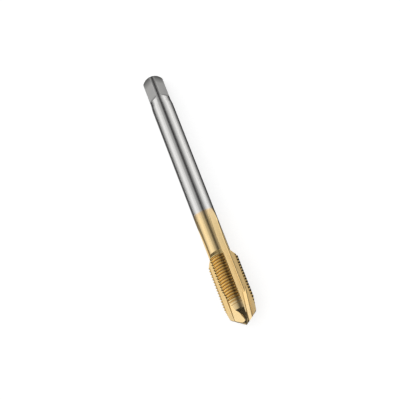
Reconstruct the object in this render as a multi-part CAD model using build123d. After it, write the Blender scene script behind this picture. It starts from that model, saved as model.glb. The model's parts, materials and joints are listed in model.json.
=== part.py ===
"""Machine tap for M10 x 1 fine thread: one solid of high-speed steel.

The tap is drawn upright along its own axis, with the drive end at z = 0 and the point at the top.
It is then laid down as it rests on a table: point towards +X, on two of its three lands and
the back end of the shank, with the third land straight up.
"""
import math
import os

from build123d import *

# ---- driving dimensions, in millimetres and degrees ----

# lengths along the axis
body_length = 90.5            # drive end to the front ring, without the centre point
thread_length = 18.7          # full diameter and lead together
lead_length = 4.4             # tapered threads at the front
square_length = 7.8           # flats at full depth
drive_bevel_length = 0.65
neck_length = 9.2             # the turned-down end, past where the flats run out
neck_taper_end = 11.4         # drive end to where the shank has its full diameter

# diameters and widths
thread_diameter = 10.0
front_ring_diameter = 8.5
shank_diameter = 7.0
neck_diameter = 6.6
drive_end_diameter = 5.3
square_across_flats = 5.5

# thread form
thread_pitch = 1.0
thread_depth = 0.61
thread_flank_angle = 30.0     # one flank, from the square-on plane
thread_root_flat = 0.2
thread_phase = 0.57           # where the first turn starts, past the foot of the shoulder

# cones
shoulder_half_angle = 30.0
point_half_angle = 47.2

# straight flutes, ground with a wheel that has a flat rim and sloping sides
flute_count = 3
flute_core_radius = 2.72      # axis to the flat floor of a flute
flute_floor_width = 2.74
flute_wall_angle = 35.0       # each wall, from the middle of the flute
flute_corner_radius = 0.5
flute_wheel_radius = 100.0
flute_full_depth_behind_shoulder = 2.7

# spiral point: a slanted groove in each flute, seen here along the groove
spiral_point_angle = 16.4
spiral_turn = -14.5           # the groove's own upright, from the middle of the land that it sharpens
spiral_edge_height = 3.82     # its cutting edge, above the axis
spiral_edge_offset_at_ring = 1.5
spiral_face_lean = 40.0       # cutting face, which undercuts the edge
spiral_face_depth = 1.57
spiral_wall_lean = 8.0        # below the face, leaning back
spiral_wall_depth = 1.4
spiral_floor_lean = 30.0      # the floor falls away from the wall
spiral_corner_radius = 0.5

# square drive
square_turn = -18.0           # corner of the square, from the middle of the upper land
square_runout_radius = 1.5

# centre hole in the drive end
centre_hole_diameter = 1.6
centre_hole_depth = 3.2
centre_sink_diameter = 3.35
centre_sink_angle = 60.0

# how far a cutter reaches past what it cuts
overrun = 2.0

# ---- sizes that follow ----

thread_radius = thread_diameter / 2
shank_radius = shank_diameter / 2
neck_radius = neck_diameter / 2
front_ring_radius = front_ring_diameter / 2
lead_start = body_length - lead_length
shoulder_top = body_length - thread_length
shoulder_height = (thread_radius - shank_radius) / math.tan(math.radians(shoulder_half_angle))
shoulder_foot = shoulder_top - shoulder_height
point_height = front_ring_radius / math.tan(math.radians(point_half_angle))
total_length = body_length + point_height


def round_bar():
    """The bar that the tap is made from, at the thread's full diameter."""
    return Cylinder(
        thread_radius,
        total_length,
        align=(Align.CENTER, Align.CENTER, Align.MIN),
    )


def turned_away():
    """What turning takes off the bar: round the neck, shank and shoulder, and round the lead and point."""
    outer_radius = thread_radius + overrun
    bevel_slope = (neck_radius - drive_end_diameter / 2) / drive_bevel_length
    back = Polyline(
        (drive_end_diameter / 2 - overrun * bevel_slope, 0, -overrun),
        (neck_radius, 0, drive_bevel_length),
        (neck_radius, 0, neck_length),
        (shank_radius, 0, neck_taper_end),
        (shank_radius, 0, shoulder_foot),
        (thread_radius, 0, shoulder_top),
        (outer_radius, 0, shoulder_top + overrun * shoulder_height / (thread_radius - shank_radius)),
        (outer_radius, 0, -overrun),
        close=True,
    )
    front = Polyline(
        (outer_radius, 0, lead_start - overrun * lead_length / (thread_radius - front_ring_radius)),
        (front_ring_radius, 0, body_length),
        (0, 0, total_length),
        (0, 0, total_length + overrun),
        (outer_radius, 0, total_length + overrun),
        close=True,
    )
    return [revolve(make_face(piece), axis=Axis.Z) for piece in (back, front)]


def centre_hole():
    """Pilot hole and countersink that the tap is ground between."""
    sink_radius = centre_sink_diameter / 2
    pilot_radius = centre_hole_diameter / 2
    sink_slope = math.tan(math.radians(centre_sink_angle / 2))
    sink_depth = (sink_radius - pilot_radius) / sink_slope
    outline = Polyline(
        (0, 0, -overrun),
        (sink_radius + overrun * sink_slope, 0, -overrun),
        (pilot_radius, 0, sink_depth),
        (pilot_radius, 0, centre_hole_depth),
        (0, 0, centre_hole_depth + pilot_radius * sink_slope),
        close=True,
    )
    return revolve(make_face(outline), axis=Axis.Z)


def square_flat_cutters():
    """Four milled flats, each running out to the shank in a concave radius."""
    flat_height = square_across_flats / 2
    outer = shank_radius + overrun
    rise = outer - flat_height
    run = min(rise, square_runout_radius)
    profile = Line((flat_height, -overrun), (flat_height, square_length))
    profile += RadiusArc(
        (flat_height, square_length),
        (flat_height + run, square_length + run),
        run,
    )
    profile += Polyline(
        (flat_height + run, square_length + run),
        (outer, square_length + run),
        (outer, -overrun),
        (flat_height, -overrun),
    )
    cutter = extrude(Plane.XZ * make_face(profile), amount=shank_diameter, both=True)
    return [Rot(0, 0, square_turn + 45 + 90 * side) * cutter for side in range(4)]


def thread_groove():
    """The helical V groove, right-handed, from the shoulder to past the front ring.

    Its root keeps one radius, so it fades in on the shoulder and out on the lead by itself.
    """
    root_radius = thread_radius - thread_depth
    root_half = thread_root_flat / 2
    crest_half = root_half + thread_depth * math.tan(math.radians(thread_flank_angle))
    mouth_half = (thread_pitch / 2 + crest_half) / 2
    mouth_radius = thread_radius + (mouth_half - crest_half) / math.tan(math.radians(thread_flank_angle))
    outer_radius = thread_radius + thread_depth
    start = shoulder_foot + thread_phase
    groove_path = Helix(
        pitch=thread_pitch,
        height=body_length - start,
        radius=root_radius,
        center=(0, 0, start),
    )
    section = Polyline(
        (root_radius, 0, start - root_half),
        (mouth_radius, 0, start - mouth_half),
        (outer_radius, 0, start - mouth_half),
        (outer_radius, 0, start + mouth_half),
        (mouth_radius, 0, start + mouth_half),
        (root_radius, 0, start + root_half),
        close=True,
    )
    return sweep(make_face(section), path=groove_path, is_frenet=True)


def straight_flute():
    """One flute: straight from the point, then out of the shank along the rim of the wheel."""
    outer = thread_radius + overrun
    floor_half = flute_floor_width / 2
    mouth_half = floor_half + (outer - flute_core_radius) * math.tan(math.radians(flute_wall_angle))
    full_depth_end = shoulder_foot - flute_full_depth_behind_shoulder
    profile = Polyline(
        (outer, mouth_half),
        (flute_core_radius, floor_half),
        (flute_core_radius, -floor_half),
        (outer, -mouth_half),
        close=True,
    )
    section = make_face(profile)
    floor_corners = section.vertices().group_by(Axis.X)[0]
    section = fillet(floor_corners, flute_corner_radius)
    rim = Plane(origin=(0, 0, full_depth_end), z_dir=(0, 0, 1)) * section
    straight = extrude(rim, amount=total_length + overrun - full_depth_end)
    wheel_axis = Axis((flute_core_radius + flute_wheel_radius, 0, full_depth_end), (0, 1, 0))
    rise = shank_radius - flute_core_radius + overrun
    swing = math.degrees(math.acos(1 - rise / flute_wheel_radius))
    run_out = revolve(rim, axis=wheel_axis, revolution_arc=-swing)
    return [straight, run_out]


def spiral_point_groove():
    """The slanted groove that pushes chips ahead; it leans towards the land that it sharpens.

    Its section is drawn as height above the axis, and distance towards that land from its edge.
    """
    lean = math.tan(math.radians(spiral_point_angle))
    front = total_length + overrun
    edge = Vector(spiral_edge_height, spiral_edge_offset_at_ring - lean * (front - body_length), front)
    face = Vector(-1, 0).rotate(Axis.Z, -spiral_face_lean)
    wall = Vector(-1, 0).rotate(Axis.Z, spiral_wall_lean)
    floor = Vector(0, -1).rotate(Axis.Z, -spiral_floor_lean)
    face_foot = face * spiral_face_depth
    wall_foot = face_foot + wall * spiral_wall_depth
    above_edge = face * -(thread_radius + overrun - spiral_edge_height)
    floor_end = wall_foot + floor * thread_radius
    profile = Polyline(
        above_edge,
        face_foot,
        wall_foot,
        floor_end,
        (above_edge.X, floor_end.Y),
        close=True,
    )
    section = make_face(profile)
    corners = section.vertices().filter_by(
        lambda corner: min((Vector(corner) - foot).length for foot in (face_foot, wall_foot)) < 0.01
    )
    section = fillet(corners, spiral_corner_radius)
    groove_plane = Plane(origin=edge, x_dir=(1, 0, 0), z_dir=(0, lean, -1))
    reach = (thread_diameter + spiral_edge_height) / math.sin(math.radians(spiral_point_angle))
    return Rot(0, 0, spiral_turn) * extrude(groove_plane * section, amount=reach)


def upright_tap():
    tap = round_bar() - thread_groove()
    for ring in turned_away():
        tap -= ring
    lands = [Rot(0, 0, 360 / flute_count * index) for index in range(flute_count)]
    for land in lands:
        tap -= land * spiral_point_groove()
    for land in lands:
        for cutter in straight_flute():
            tap -= land * Rot(0, 0, 180 / flute_count) * cutter
    for cutter in square_flat_cutters():
        tap -= cutter
    return tap - centre_hole()


def resting_plane():
    """Where the drive end lies when the tap rests on a table.

    The front stands on the edges of two lands, either side of the flute that faces down, and
    the back on the shank, where its taper ends.
    """
    wall_angle = math.radians(flute_wall_angle)
    wall_miss = flute_core_radius * math.sin(wall_angle) - flute_floor_width / 2 * math.cos(wall_angle)
    flute_half_width = wall_angle - math.asin(wall_miss / thread_radius)
    land_height = thread_radius * math.cos(flute_half_width)
    tilt = math.atan2(land_height - shank_radius, shoulder_top - neck_taper_end)
    lift = shank_radius * math.cos(tilt) - neck_taper_end * math.sin(tilt)
    return Plane(
        origin=(-total_length / 2 * math.cos(tilt), 0, lift),
        x_dir=(-math.sin(tilt), 0, math.cos(tilt)),
        z_dir=(math.cos(tilt), 0, math.sin(tilt)),
    )


os.makedirs("parts", exist_ok=True)
export_step(resting_plane().location * upright_tap(), "parts/tap.step")
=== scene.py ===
"""Looks of a thread tap: ground tool steel, coated gold from the ends of its flutes to its point.

The tap lies on a pale floor in a light tent. Everything is in metres, in the frame's own axes.
"""
import json
import math

import bmesh
import bpy
from mathutils import Matrix, Vector

MM = 0.001

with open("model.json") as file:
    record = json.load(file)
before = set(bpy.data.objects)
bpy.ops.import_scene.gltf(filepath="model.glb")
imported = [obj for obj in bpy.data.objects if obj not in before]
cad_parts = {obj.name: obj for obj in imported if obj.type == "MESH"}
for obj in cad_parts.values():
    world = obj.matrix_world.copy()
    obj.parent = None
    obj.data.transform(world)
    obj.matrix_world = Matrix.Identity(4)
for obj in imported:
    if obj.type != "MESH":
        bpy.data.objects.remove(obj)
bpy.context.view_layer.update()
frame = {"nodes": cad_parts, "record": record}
tap = frame["nodes"]["tap"]

# ---- the tap's own axis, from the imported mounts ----

mounts = {mount["name"]: mount for mount in frame["record"]["mounts"]}
DRIVE_END = Vector(mounts["drive_square"]["pos_m"])
TO_POINT = -Vector(mounts["drive_square"]["axis"]).normalized()
LEFT_TO_RIGHT = Vector((0, 1, 0))
UPPER_LAND = TO_POINT.cross(LEFT_TO_RIGHT)
AXIS_CLIMB = math.asin(TO_POINT.z)

# ---- the turned outline: places along the tap from its drive end, and radii ----

DRIVE_BEVEL = 0.65 * MM
NECK_END = 9.2 * MM
NECK_TAPER_END = 11.4 * MM
SHOULDER_FOOT = 69.2 * MM
SHOULDER_TOP = 71.8 * MM
LEAD_START = 86.1 * MM
FRONT_RING = 90.5 * MM

DRIVE_END_RADIUS = 2.65 * MM
NECK_RADIUS = 3.3 * MM
SHANK_RADIUS = mounts["shank"]["dims"]["r_mm"] * MM
THREAD_RADIUS = 5.0 * MM
THREAD_ROOT_RADIUS = 4.39 * MM
FRONT_RING_RADIUS = 4.25 * MM

# ---- steel ----

# Ground high-speed steel: neutral grey, bright but not mirror-like.
STEEL = "#d9d8d6"
# Steel and coat are both a little darker where light grazes them.
GRAZED_METAL = "#9a9a9a"

GROUND_ROUGHNESS = 0.16          # shank, thread and lead
FLUTE_ROUGHNESS = 0.21           # ground along the tap, a little coarser
MILLED_ROUGHNESS = 0.39          # the square's flats

SQUARE_SHADE = 0.72              # the flats are duller than the ground shank
SQUARE_END_SHADE = 0.25          # and darker towards the drive end
SQUARE_DARK_END_REACH = 3.2 * MM

# Grinding lines are about 0.02 mm apart: they are drawn coarser, to show.
SHANK_LINE = 0.35 * MM
FLUTE_LINE = 0.3 * MM
LINE_RUN = 9.0 * MM              # how far one line runs before it fades
LINE_SHADES = (0.93, 1.05)
LINE_ROUGHNESS = 0.08
LINE_HEIGHT = 0.004 * MM
LINE_RELIEF = 0.25

# A face that lies this far inside the turned outline and the thread's roots was cut afterwards.
CUT_MARGIN = 0.03 * MM

# ---- coat ----

# Titanium nitride, laid on in a vacuum: a gold skin on the ground surface below, in uneven clouds.
NITRIDE = "#f5daa8"
NITRIDE_DEEP = "#eed095"
NITRIDE_METALLIC = 0.92
CLOUD = 7.0 * MM
# The coat thins out at its edge, where it is browner.
NITRIDE_EDGE = "#ecd0a4"
# Painted bounce light and painted shade: light that bounces between gold walls comes out deeper, so the
# gold is painted deeper in flutes and on the thread, and darker in its roots.
NITRIDE_FLUTE_PAINTED_BOUNCE = "#fbd898"
NITRIDE_THREAD_PAINTED_BOUNCE = "#f8d996"
NITRIDE_ROOT_PAINTED_SHADE = "#b8935a"

COAT_EDGE = 53.4 * MM            # from the drive end
COAT_EDGE_SWING = 0.8 * MM       # it starts further forward on the upper side
COAT_EDGE_BLUR = 0.5 * MM
COAT_EDGE_WAVE = 3.0 * MM
THIN_COAT = 2.5 * MM             # how far past its edge the coat is still thin

# where the painted bounce light in the flutes starts to fade in
FLUTE_PAINTED_BOUNCE_START = SHOULDER_FOOT - 6 * MM
# where the thread's painted bounce light ends; it fades over the lead
THREAD_PAINTED_BOUNCE_END = FRONT_RING - 2 * MM    # it fades over the lead
ROOT_SHADE_START = 0.12 * MM     # depth under the thread's crests
ROOT_SHADE_FULL = 0.6 * MM

# ---- camera ----

LEAN = math.radians(31.0)        # from square-on to the tap, towards its point
ROUND = math.radians(14.5)       # round the tap from straight above, towards +Y
ROLL = math.radians(21.2)        # of the tap's axis from the picture's upright
DISTANCE = 531.0 * MM            # from the drive end, along the line of sight
DOWN_SHIFT = 41.59 * MM          # from the drive end, down the tap's own line in the picture
RIGHT_SHIFT = 0.43 * MM
LENS_MM = 147.2
SENSOR_MM = 36.0
CLIP_START = 10 * MM

# ---- light tent ----

TENT_STRENGTH = 1.25
SLOT_TURN = math.radians(22.5)   # the dark slot, round the tap from straight above, towards +Y

# brightness of the tent, by degrees round the tap from its slot, on either side
TENT_LEFT = ((3, 0.022), (9, 0.066), (19, 0.36), (30, 0.55), (41, 0.63), (52, 0.82), (64, 0.97),
             (77, 1.0), (90, 0.68), (104, 0.42), (120, 0.22), (179, 0.06))
TENT_RIGHT = ((3, 0.022), (12.5, 0.205), (23.5, 0.55), (35, 0.68), (46, 0.91), (59, 1.05),
              (72, 0.92), (95, 0.45), (115, 0.15), (179, 0.06))

# ends of the tent, by the cosine of the angle from where the tap points, and how bright they are
OPENING_EDGES = (0.5, 0.8)
OPENING_SHADE = 0.02
BACK_EDGES = (-0.8, -1.0)
BACK_SHADE = 0.4

# ---- floor and cards ----

FLOOR_GREY = 0.4
FLOOR_GLOW = 0.82
FLOOR_REACH = 3.0

CARD_GREY = 0.03
# opposite corners of each card, in metres, and its height
CARDS = {
    "card_under_the_tap": ((-0.12, -0.1), (0.075, 0.06), 0.02 * MM),
    "card_beside_the_coat": ((0.005, 0.001), (0.07, 0.009), 0.04 * MM),
    "card_ahead": ((0.075, -0.3), (1.5, 0.3), 0.03 * MM),
    "card_behind": ((-1.5, -0.3), (-0.12, 0.3), 0.03 * MM),
}
CUT_CARD = "card_under_the_tap"
# how much of the floor shows past the cut card, by millimetres to the right of the tap
CARD_GAPS = ((-45, 0.12), (-11, 0.08), (-8.5, 0.8), (-6, 0.6), (-3.5, 0.0),
             (4.5, 0.0), (7, 0.22), (12, 0.5), (21, 0.88), (28, 1.0))
CARD_GAPS_REACH = 50.0


def linear(hex_colour):
    """An sRGB hex colour as the linear colour that a shader takes."""
    channels = [int(hex_colour[i:i + 2], 16) / 255 for i in (1, 3, 5)]
    return [c / 12.92 if c <= 0.04045 else ((c + 0.055) / 1.055) ** 2.4 for c in channels] + [1]


def grey(level):
    return (level, level, level, 1)


def add(tree, kind, inputs=(), stops=(), **settings):
    """Adds a node, sets its properties and a ramp's stops, and fills or links its inputs.

    Inputs come in order, or by name or number. A node given as an input passes on the first
    output that it has in use.
    """
    node = tree.nodes.new(kind)
    for name, value in settings.items():
        setattr(node, name, value)
    pairs = inputs.items() if isinstance(inputs, dict) else enumerate(inputs)
    for key, value in pairs:
        if isinstance(value, bpy.types.Node):
            value = next(output for output in value.outputs if output.enabled)
        if isinstance(value, bpy.types.NodeSocket):
            tree.links.new(value, node.inputs[key])
        else:
            node.inputs[key].default_value = value
    if stops:
        elements = node.color_ramp.elements
        elements.remove(elements[1])
        elements[0].position, elements[0].color = stops[0][0], grey(stops[0][1])
        for position, level in stops[1:]:
            elements.new(position).color = grey(level)
    return node


def new_material(name):
    material = bpy.data.materials.new(name)
    material.use_nodes = True
    material.node_tree.nodes.clear()
    return material, material.node_tree


# ---- finish of the tap ----

def grinding_lines(tree, tap_place, along_size, across_size, seed):
    """Noise drawn out along the tap or around it, as a grinding wheel leaves it."""
    scale = (1 / along_size, 1 / across_size, 1 / across_size)
    drawn_out = add(tree, "ShaderNodeMapping",
                    {"Vector": tap_place, "Location": (seed, seed, seed), "Scale": scale})
    return add(tree, "ShaderNodeTexNoise",
               {"Vector": drawn_out, "Scale": 1.0, "Detail": 3.0, "Roughness": 0.6})


def turned_outline(tree, along):
    """Radius that the tap was turned to, which its thread's crests still have."""
    radius = DRIVE_END_RADIUS
    for start, end, rise in (
        (0.0, DRIVE_BEVEL, NECK_RADIUS - DRIVE_END_RADIUS),
        (NECK_END, NECK_TAPER_END, SHANK_RADIUS - NECK_RADIUS),
        (SHOULDER_FOOT, SHOULDER_TOP, THREAD_RADIUS - SHANK_RADIUS),
        (LEAD_START, FRONT_RING, FRONT_RING_RADIUS - THREAD_RADIUS),
    ):
        slope = add(tree, "ShaderNodeMapRange", [along, start, end, 0.0, rise])
        radius = add(tree, "ShaderNodeMath", [radius, slope], operation="ADD")
    return radius


def coat_masks(tree, place, along, up):
    """Where the steel is bare behind the coat, and where the coat is still thin."""
    wave = add(tree, "ShaderNodeTexNoise",
               {"Vector": place, "Scale": 1 / COAT_EDGE_WAVE, "Detail": 2.0})
    edge = add(tree, "ShaderNodeMath", [up, COAT_EDGE_SWING / SHANK_RADIUS, COAT_EDGE],
               operation="MULTIPLY_ADD")
    edge = add(tree, "ShaderNodeMath", [wave, COAT_EDGE_BLUR, edge], operation="MULTIPLY_ADD")
    past_edge = add(tree, "ShaderNodeMath", [along, edge], operation="SUBTRACT")
    bare = add(tree, "ShaderNodeMapRange", [past_edge, COAT_EDGE_BLUR, -COAT_EDGE_BLUR],
               interpolation_type="SMOOTHSTEP")
    thin = add(tree, "ShaderNodeMapRange", [past_edge, THIN_COAT, 0.0],
               interpolation_type="SMOOTHSTEP")
    return bare, thin


def cut_masks(tree, along, radius, outline):
    """Where a cutter went deeper than the turned outline and the thread's roots: square, and flutes."""
    lowest = add(tree, "ShaderNodeMath", [outline, THREAD_ROOT_RADIUS], operation="MINIMUM")
    lowest = add(tree, "ShaderNodeMath", [lowest, CUT_MARGIN], operation="SUBTRACT")
    cut = add(tree, "ShaderNodeMath", [radius, lowest], operation="LESS_THAN")
    near_drive = add(tree, "ShaderNodeMath", [along, NECK_TAPER_END], operation="LESS_THAN")
    on_square = add(tree, "ShaderNodeMath", [cut, near_drive], operation="MULTIPLY")
    in_flute = add(tree, "ShaderNodeMath", [cut, on_square], operation="SUBTRACT")
    return cut, on_square, in_flute


def thread_masks(tree, along, radius, outline, cut):
    """Where the thread is whole, for painted bounce light, and how deep a face lies in its groove, for
    painted shade.
    """
    past_shoulder = add(tree, "ShaderNodeMath", [along, SHOULDER_FOOT], operation="GREATER_THAN")
    on_thread = add(tree, "ShaderNodeMath", [past_shoulder, cut], operation="SUBTRACT",
                    use_clamp=True)
    before_lead = add(tree, "ShaderNodeMapRange", [along, THREAD_PAINTED_BOUNCE_END, LEAD_START],
                      interpolation_type="SMOOTHSTEP")
    whole = add(tree, "ShaderNodeMath", [on_thread, before_lead], operation="MULTIPLY")
    depth = add(tree, "ShaderNodeMath", [outline, radius], operation="SUBTRACT")
    deep = add(tree, "ShaderNodeMapRange", [depth, ROOT_SHADE_START, ROOT_SHADE_FULL],
               interpolation_type="SMOOTHSTEP")
    root_painted_shade = add(tree, "ShaderNodeMath", [on_thread, deep], operation="MULTIPLY")
    return whole, root_painted_shade


def painted_flute_bounce(tree, along, in_flute):
    """Where a flute runs between two lands: painted bounce light, as if their gold lit it."""
    past_run_out = add(tree, "ShaderNodeMapRange", [along, FLUTE_PAINTED_BOUNCE_START, SHOULDER_TOP],
                       interpolation_type="SMOOTHSTEP")
    before_point = add(tree, "ShaderNodeMapRange", [along, FRONT_RING, LEAD_START],
                       interpolation_type="SMOOTHSTEP")
    glow = add(tree, "ShaderNodeMath", [past_run_out, before_point], operation="MULTIPLY")
    return add(tree, "ShaderNodeMath", [in_flute, glow], operation="MULTIPLY")


def tap_finish():
    material, tree = new_material("ground_steel_with_nitride_coat")
    place = add(tree, "ShaderNodeTexCoord").outputs["Object"]
    tap_place = add(tree, "ShaderNodeMapping",
                    {"Vector": place, "Location": DRIVE_END, "Rotation": (0, -AXIS_CLIMB, 0)},
                    vector_type="TEXTURE")
    along, _, up = add(tree, "ShaderNodeSeparateXYZ", [tap_place]).outputs
    from_axis = add(tree, "ShaderNodeVectorMath", [tap_place, (0, 1, 1)], operation="MULTIPLY")
    radius = add(tree, "ShaderNodeVectorMath", [from_axis], operation="LENGTH")
    outline = turned_outline(tree, along)

    bare, thin_coat = coat_masks(tree, place, along, up)
    cut, on_square, in_flute = cut_masks(tree, along, radius, outline)
    thread_painted_bounce, root_painted_shade = thread_masks(tree, along, radius, outline, cut)
    clouds = add(tree, "ShaderNodeTexNoise", {"Vector": place, "Scale": 1 / CLOUD, "Detail": 2.0})

    # A Mix node takes its factor in input 0, numbers in 2 and 3, and colours in 6 and 7.
    colour = linear(NITRIDE)
    for mask, layer in (
        (clouds, NITRIDE_DEEP),
        (thin_coat, NITRIDE_EDGE),
        # painted bounce light in flutes and on the thread, painted shade in the thread's roots
        (painted_flute_bounce(tree, along, in_flute), NITRIDE_FLUTE_PAINTED_BOUNCE),
        (thread_painted_bounce, NITRIDE_THREAD_PAINTED_BOUNCE),
        (root_painted_shade, NITRIDE_ROOT_PAINTED_SHADE),
        (bare, STEEL),
    ):
        colour = add(tree, "ShaderNodeMix", {0: mask, 6: colour, 7: linear(layer)}, data_type="RGBA")

    rings = grinding_lines(tree, tap_place, SHANK_LINE, LINE_RUN, seed=3.0)
    lengthwise = grinding_lines(tree, tap_place, LINE_RUN, FLUTE_LINE, seed=11.0)
    grain = add(tree, "ShaderNodeMix", {0: in_flute, 2: rings, 3: lengthwise})
    # the flats are duller, and darker still towards the drive end
    flats_darkness = add(tree, "ShaderNodeMapRange",
                [along, DRIVE_BEVEL, SQUARE_DARK_END_REACH, SQUARE_END_SHADE, SQUARE_SHADE])
    square_shade = add(tree, "ShaderNodeMix", {0: on_square, 2: 1.0, 3: flats_darkness})
    line_shade = add(tree, "ShaderNodeMapRange", [grain, 0.0, 1.0, *LINE_SHADES])
    shade = add(tree, "ShaderNodeMath", [line_shade, square_shade], operation="MULTIPLY")
    colour = add(tree, "ShaderNodeMix", {0: 1.0, 6: colour, 7: shade}, data_type="RGBA",
                 blend_type="MULTIPLY")

    roughness = GROUND_ROUGHNESS
    for mask, more in (
        (on_square, MILLED_ROUGHNESS - GROUND_ROUGHNESS),
        (in_flute, FLUTE_ROUGHNESS - GROUND_ROUGHNESS),
        (grain, LINE_ROUGHNESS),
    ):
        roughness = add(tree, "ShaderNodeMath", [mask, more, roughness], operation="MULTIPLY_ADD")

    metallic = add(tree, "ShaderNodeMapRange", [bare, 0.0, 1.0, NITRIDE_METALLIC, 1.0])
    relief = add(tree, "ShaderNodeBump",
                 {"Height": grain, "Strength": LINE_RELIEF, "Distance": LINE_HEIGHT})
    surface = add(tree, "ShaderNodeBsdfPrincipled",
                  {"Base Color": colour, "Metallic": metallic, "Roughness": roughness,
                   "Specular Tint": linear(GRAZED_METAL), "Normal": relief})
    add(tree, "ShaderNodeOutputMaterial", {"Surface": surface})
    return material


# ---- studio ----

def flat_piece(name, low, high, height, material):
    """A level rectangle, kept out of the object: floor or card."""
    shape = bmesh.new()
    bmesh.ops.create_grid(shape, x_segments=1, y_segments=1, size=0.5)
    bmesh.ops.scale(shape, verts=shape.verts, vec=(high[0] - low[0], high[1] - low[1], 1))
    middle = Vector(((low[0] + high[0]) / 2, (low[1] + high[1]) / 2, height))
    bmesh.ops.translate(shape, verts=shape.verts, vec=middle)
    mesh = bpy.data.meshes.new(name)
    shape.to_mesh(mesh)
    shape.free()
    mesh.materials.append(material)
    piece = bpy.data.objects.new(name, mesh)
    bpy.context.collection.objects.link(piece)
    return piece


def floor_paint():
    """Pale matt paint. The camera and reflections also see it glow, so it is white and keeps a shadow."""
    material, tree = new_material("pale_floor_paint")
    path = add(tree, "ShaderNodeLightPath").outputs
    seen = add(tree, "ShaderNodeMath", [path["Is Camera Ray"], path["Is Glossy Ray"]],
               operation="MAXIMUM")
    seen = add(tree, "ShaderNodeMath", [seen, path["Is Transmission Ray"]], operation="MAXIMUM")
    strength = add(tree, "ShaderNodeMath", [seen, FLOOR_GLOW], operation="MULTIPLY")
    matt = add(tree, "ShaderNodeBsdfDiffuse", {"Color": grey(FLOOR_GREY)})
    glow = add(tree, "ShaderNodeEmission", {"Strength": strength})
    both = add(tree, "ShaderNodeAddShader", [matt, glow])
    add(tree, "ShaderNodeOutputMaterial", {"Surface": both})
    return material


def black_card():
    material, tree = new_material("black_card")
    paper = add(tree, "ShaderNodeBsdfDiffuse", {"Color": grey(CARD_GREY)})
    add(tree, "ShaderNodeOutputMaterial", {"Surface": paper})
    return material


def cut_black_card():
    """Black card, cut away where CARD_GAPS says."""
    material, tree = new_material("cut_black_card")
    place = add(tree, "ShaderNodeTexCoord").outputs["Object"]
    across = add(tree, "ShaderNodeSeparateXYZ", [place]).outputs["Y"]
    share = add(tree, "ShaderNodeMapRange", [across, -CARD_GAPS_REACH * MM, CARD_GAPS_REACH * MM])
    gaps = add(tree, "ShaderNodeValToRGB", [share],
               stops=[(0.5 + 0.5 * right / CARD_GAPS_REACH, gap) for right, gap in CARD_GAPS])
    paper = add(tree, "ShaderNodeBsdfDiffuse", {"Color": grey(CARD_GREY)})
    clear = add(tree, "ShaderNodeBsdfTransparent")
    mixed = add(tree, "ShaderNodeMixShader", [gaps, paper, clear])
    add(tree, "ShaderNodeOutputMaterial", {"Surface": mixed})
    return material


def lay_cards():
    """Black cards round the tap give the bright metal its dark edges. Only reflections show them."""
    whole, cut = black_card(), cut_black_card()
    for name, (low, high, height) in CARDS.items():
        card = flat_piece(name, low, high, height, cut if name == CUT_CARD else whole)
        card.visible_camera = False
        card.visible_diffuse = False
        card.visible_shadow = False
        card.visible_transmission = False


def raise_tent():
    """A light tent over the tap, with a dark slot along its top and a dark opening past its point."""
    world = bpy.data.worlds.new("light_tent")
    bpy.context.scene.world = world
    world.use_nodes = True
    tree = world.node_tree
    tree.nodes.clear()
    slot_up = UPPER_LAND * math.cos(SLOT_TURN) + LEFT_TO_RIGHT * math.sin(SLOT_TURN)
    slot_side = TO_POINT.cross(slot_up)
    towards = add(tree, "ShaderNodeTexCoord").outputs["Generated"]
    up, side, ahead = [
        add(tree, "ShaderNodeVectorMath", [towards, direction], operation="DOT_PRODUCT")
        for direction in (slot_up, slot_side, TO_POINT)
    ]

    # one turn round the tap goes from 0 to 1, with the slot in the middle
    turn = add(tree, "ShaderNodeMath", [side, up], operation="ARCTAN2")
    turn = add(tree, "ShaderNodeMath", [turn, 0.5 / math.pi, 0.5], operation="MULTIPLY_ADD")
    right = [(0.5 - degrees / 360, level) for degrees, level in reversed(TENT_RIGHT)]
    left = [(0.5 + degrees / 360, level) for degrees, level in TENT_LEFT]
    brightness = add(tree, "ShaderNodeValToRGB", [turn], stops=right + left)

    opening = add(tree, "ShaderNodeMapRange", [ahead, *OPENING_EDGES, 1.0, OPENING_SHADE],
                  interpolation_type="SMOOTHSTEP")
    back = add(tree, "ShaderNodeMapRange", [ahead, *BACK_EDGES, 1.0, BACK_SHADE],
               interpolation_type="SMOOTHSTEP")
    ends = add(tree, "ShaderNodeMath", [opening, back], operation="MULTIPLY")
    strength = add(tree, "ShaderNodeMath", [ends, TENT_STRENGTH], operation="MULTIPLY")
    light = add(tree, "ShaderNodeBackground", {"Color": brightness, "Strength": strength})
    add(tree, "ShaderNodeOutputWorld", {"Surface": light})


def place_camera():
    """In the picture the tap runs down to its point, with its +Y side to the right."""
    facing = UPPER_LAND * math.cos(ROUND) + LEFT_TO_RIGHT * math.sin(ROUND)
    right = facing.cross(TO_POINT)
    towards_camera = facing * math.cos(LEAN) + TO_POINT * math.sin(LEAN)
    down = TO_POINT * math.cos(LEAN) - facing * math.sin(LEAN)
    across = down * math.sin(ROLL) + right * math.cos(ROLL)
    upright = right * math.sin(ROLL) - down * math.cos(ROLL)
    stand = DRIVE_END + towards_camera * DISTANCE + down * DOWN_SHIFT + right * RIGHT_SHIFT
    data = bpy.data.cameras.new("camera")
    data.lens = LENS_MM
    data.sensor_width = SENSOR_MM
    data.clip_start = CLIP_START
    camera = bpy.data.objects.new("camera", data)
    turned = Matrix((across, upright, towards_camera)).transposed()
    camera.matrix_world = Matrix.Translation(stand) @ turned.to_4x4()
    bpy.context.collection.objects.link(camera)
    bpy.context.scene.camera = camera


finish = tap_finish()
for slot in tap.material_slots:
    slot.material = finish
flat_piece("floor", (-FLOOR_REACH, -FLOOR_REACH), (FLOOR_REACH, FLOOR_REACH), 0, floor_paint())
lay_cards()
raise_tent()
place_camera()
bpy.context.scene.view_settings.view_transform = "Standard"
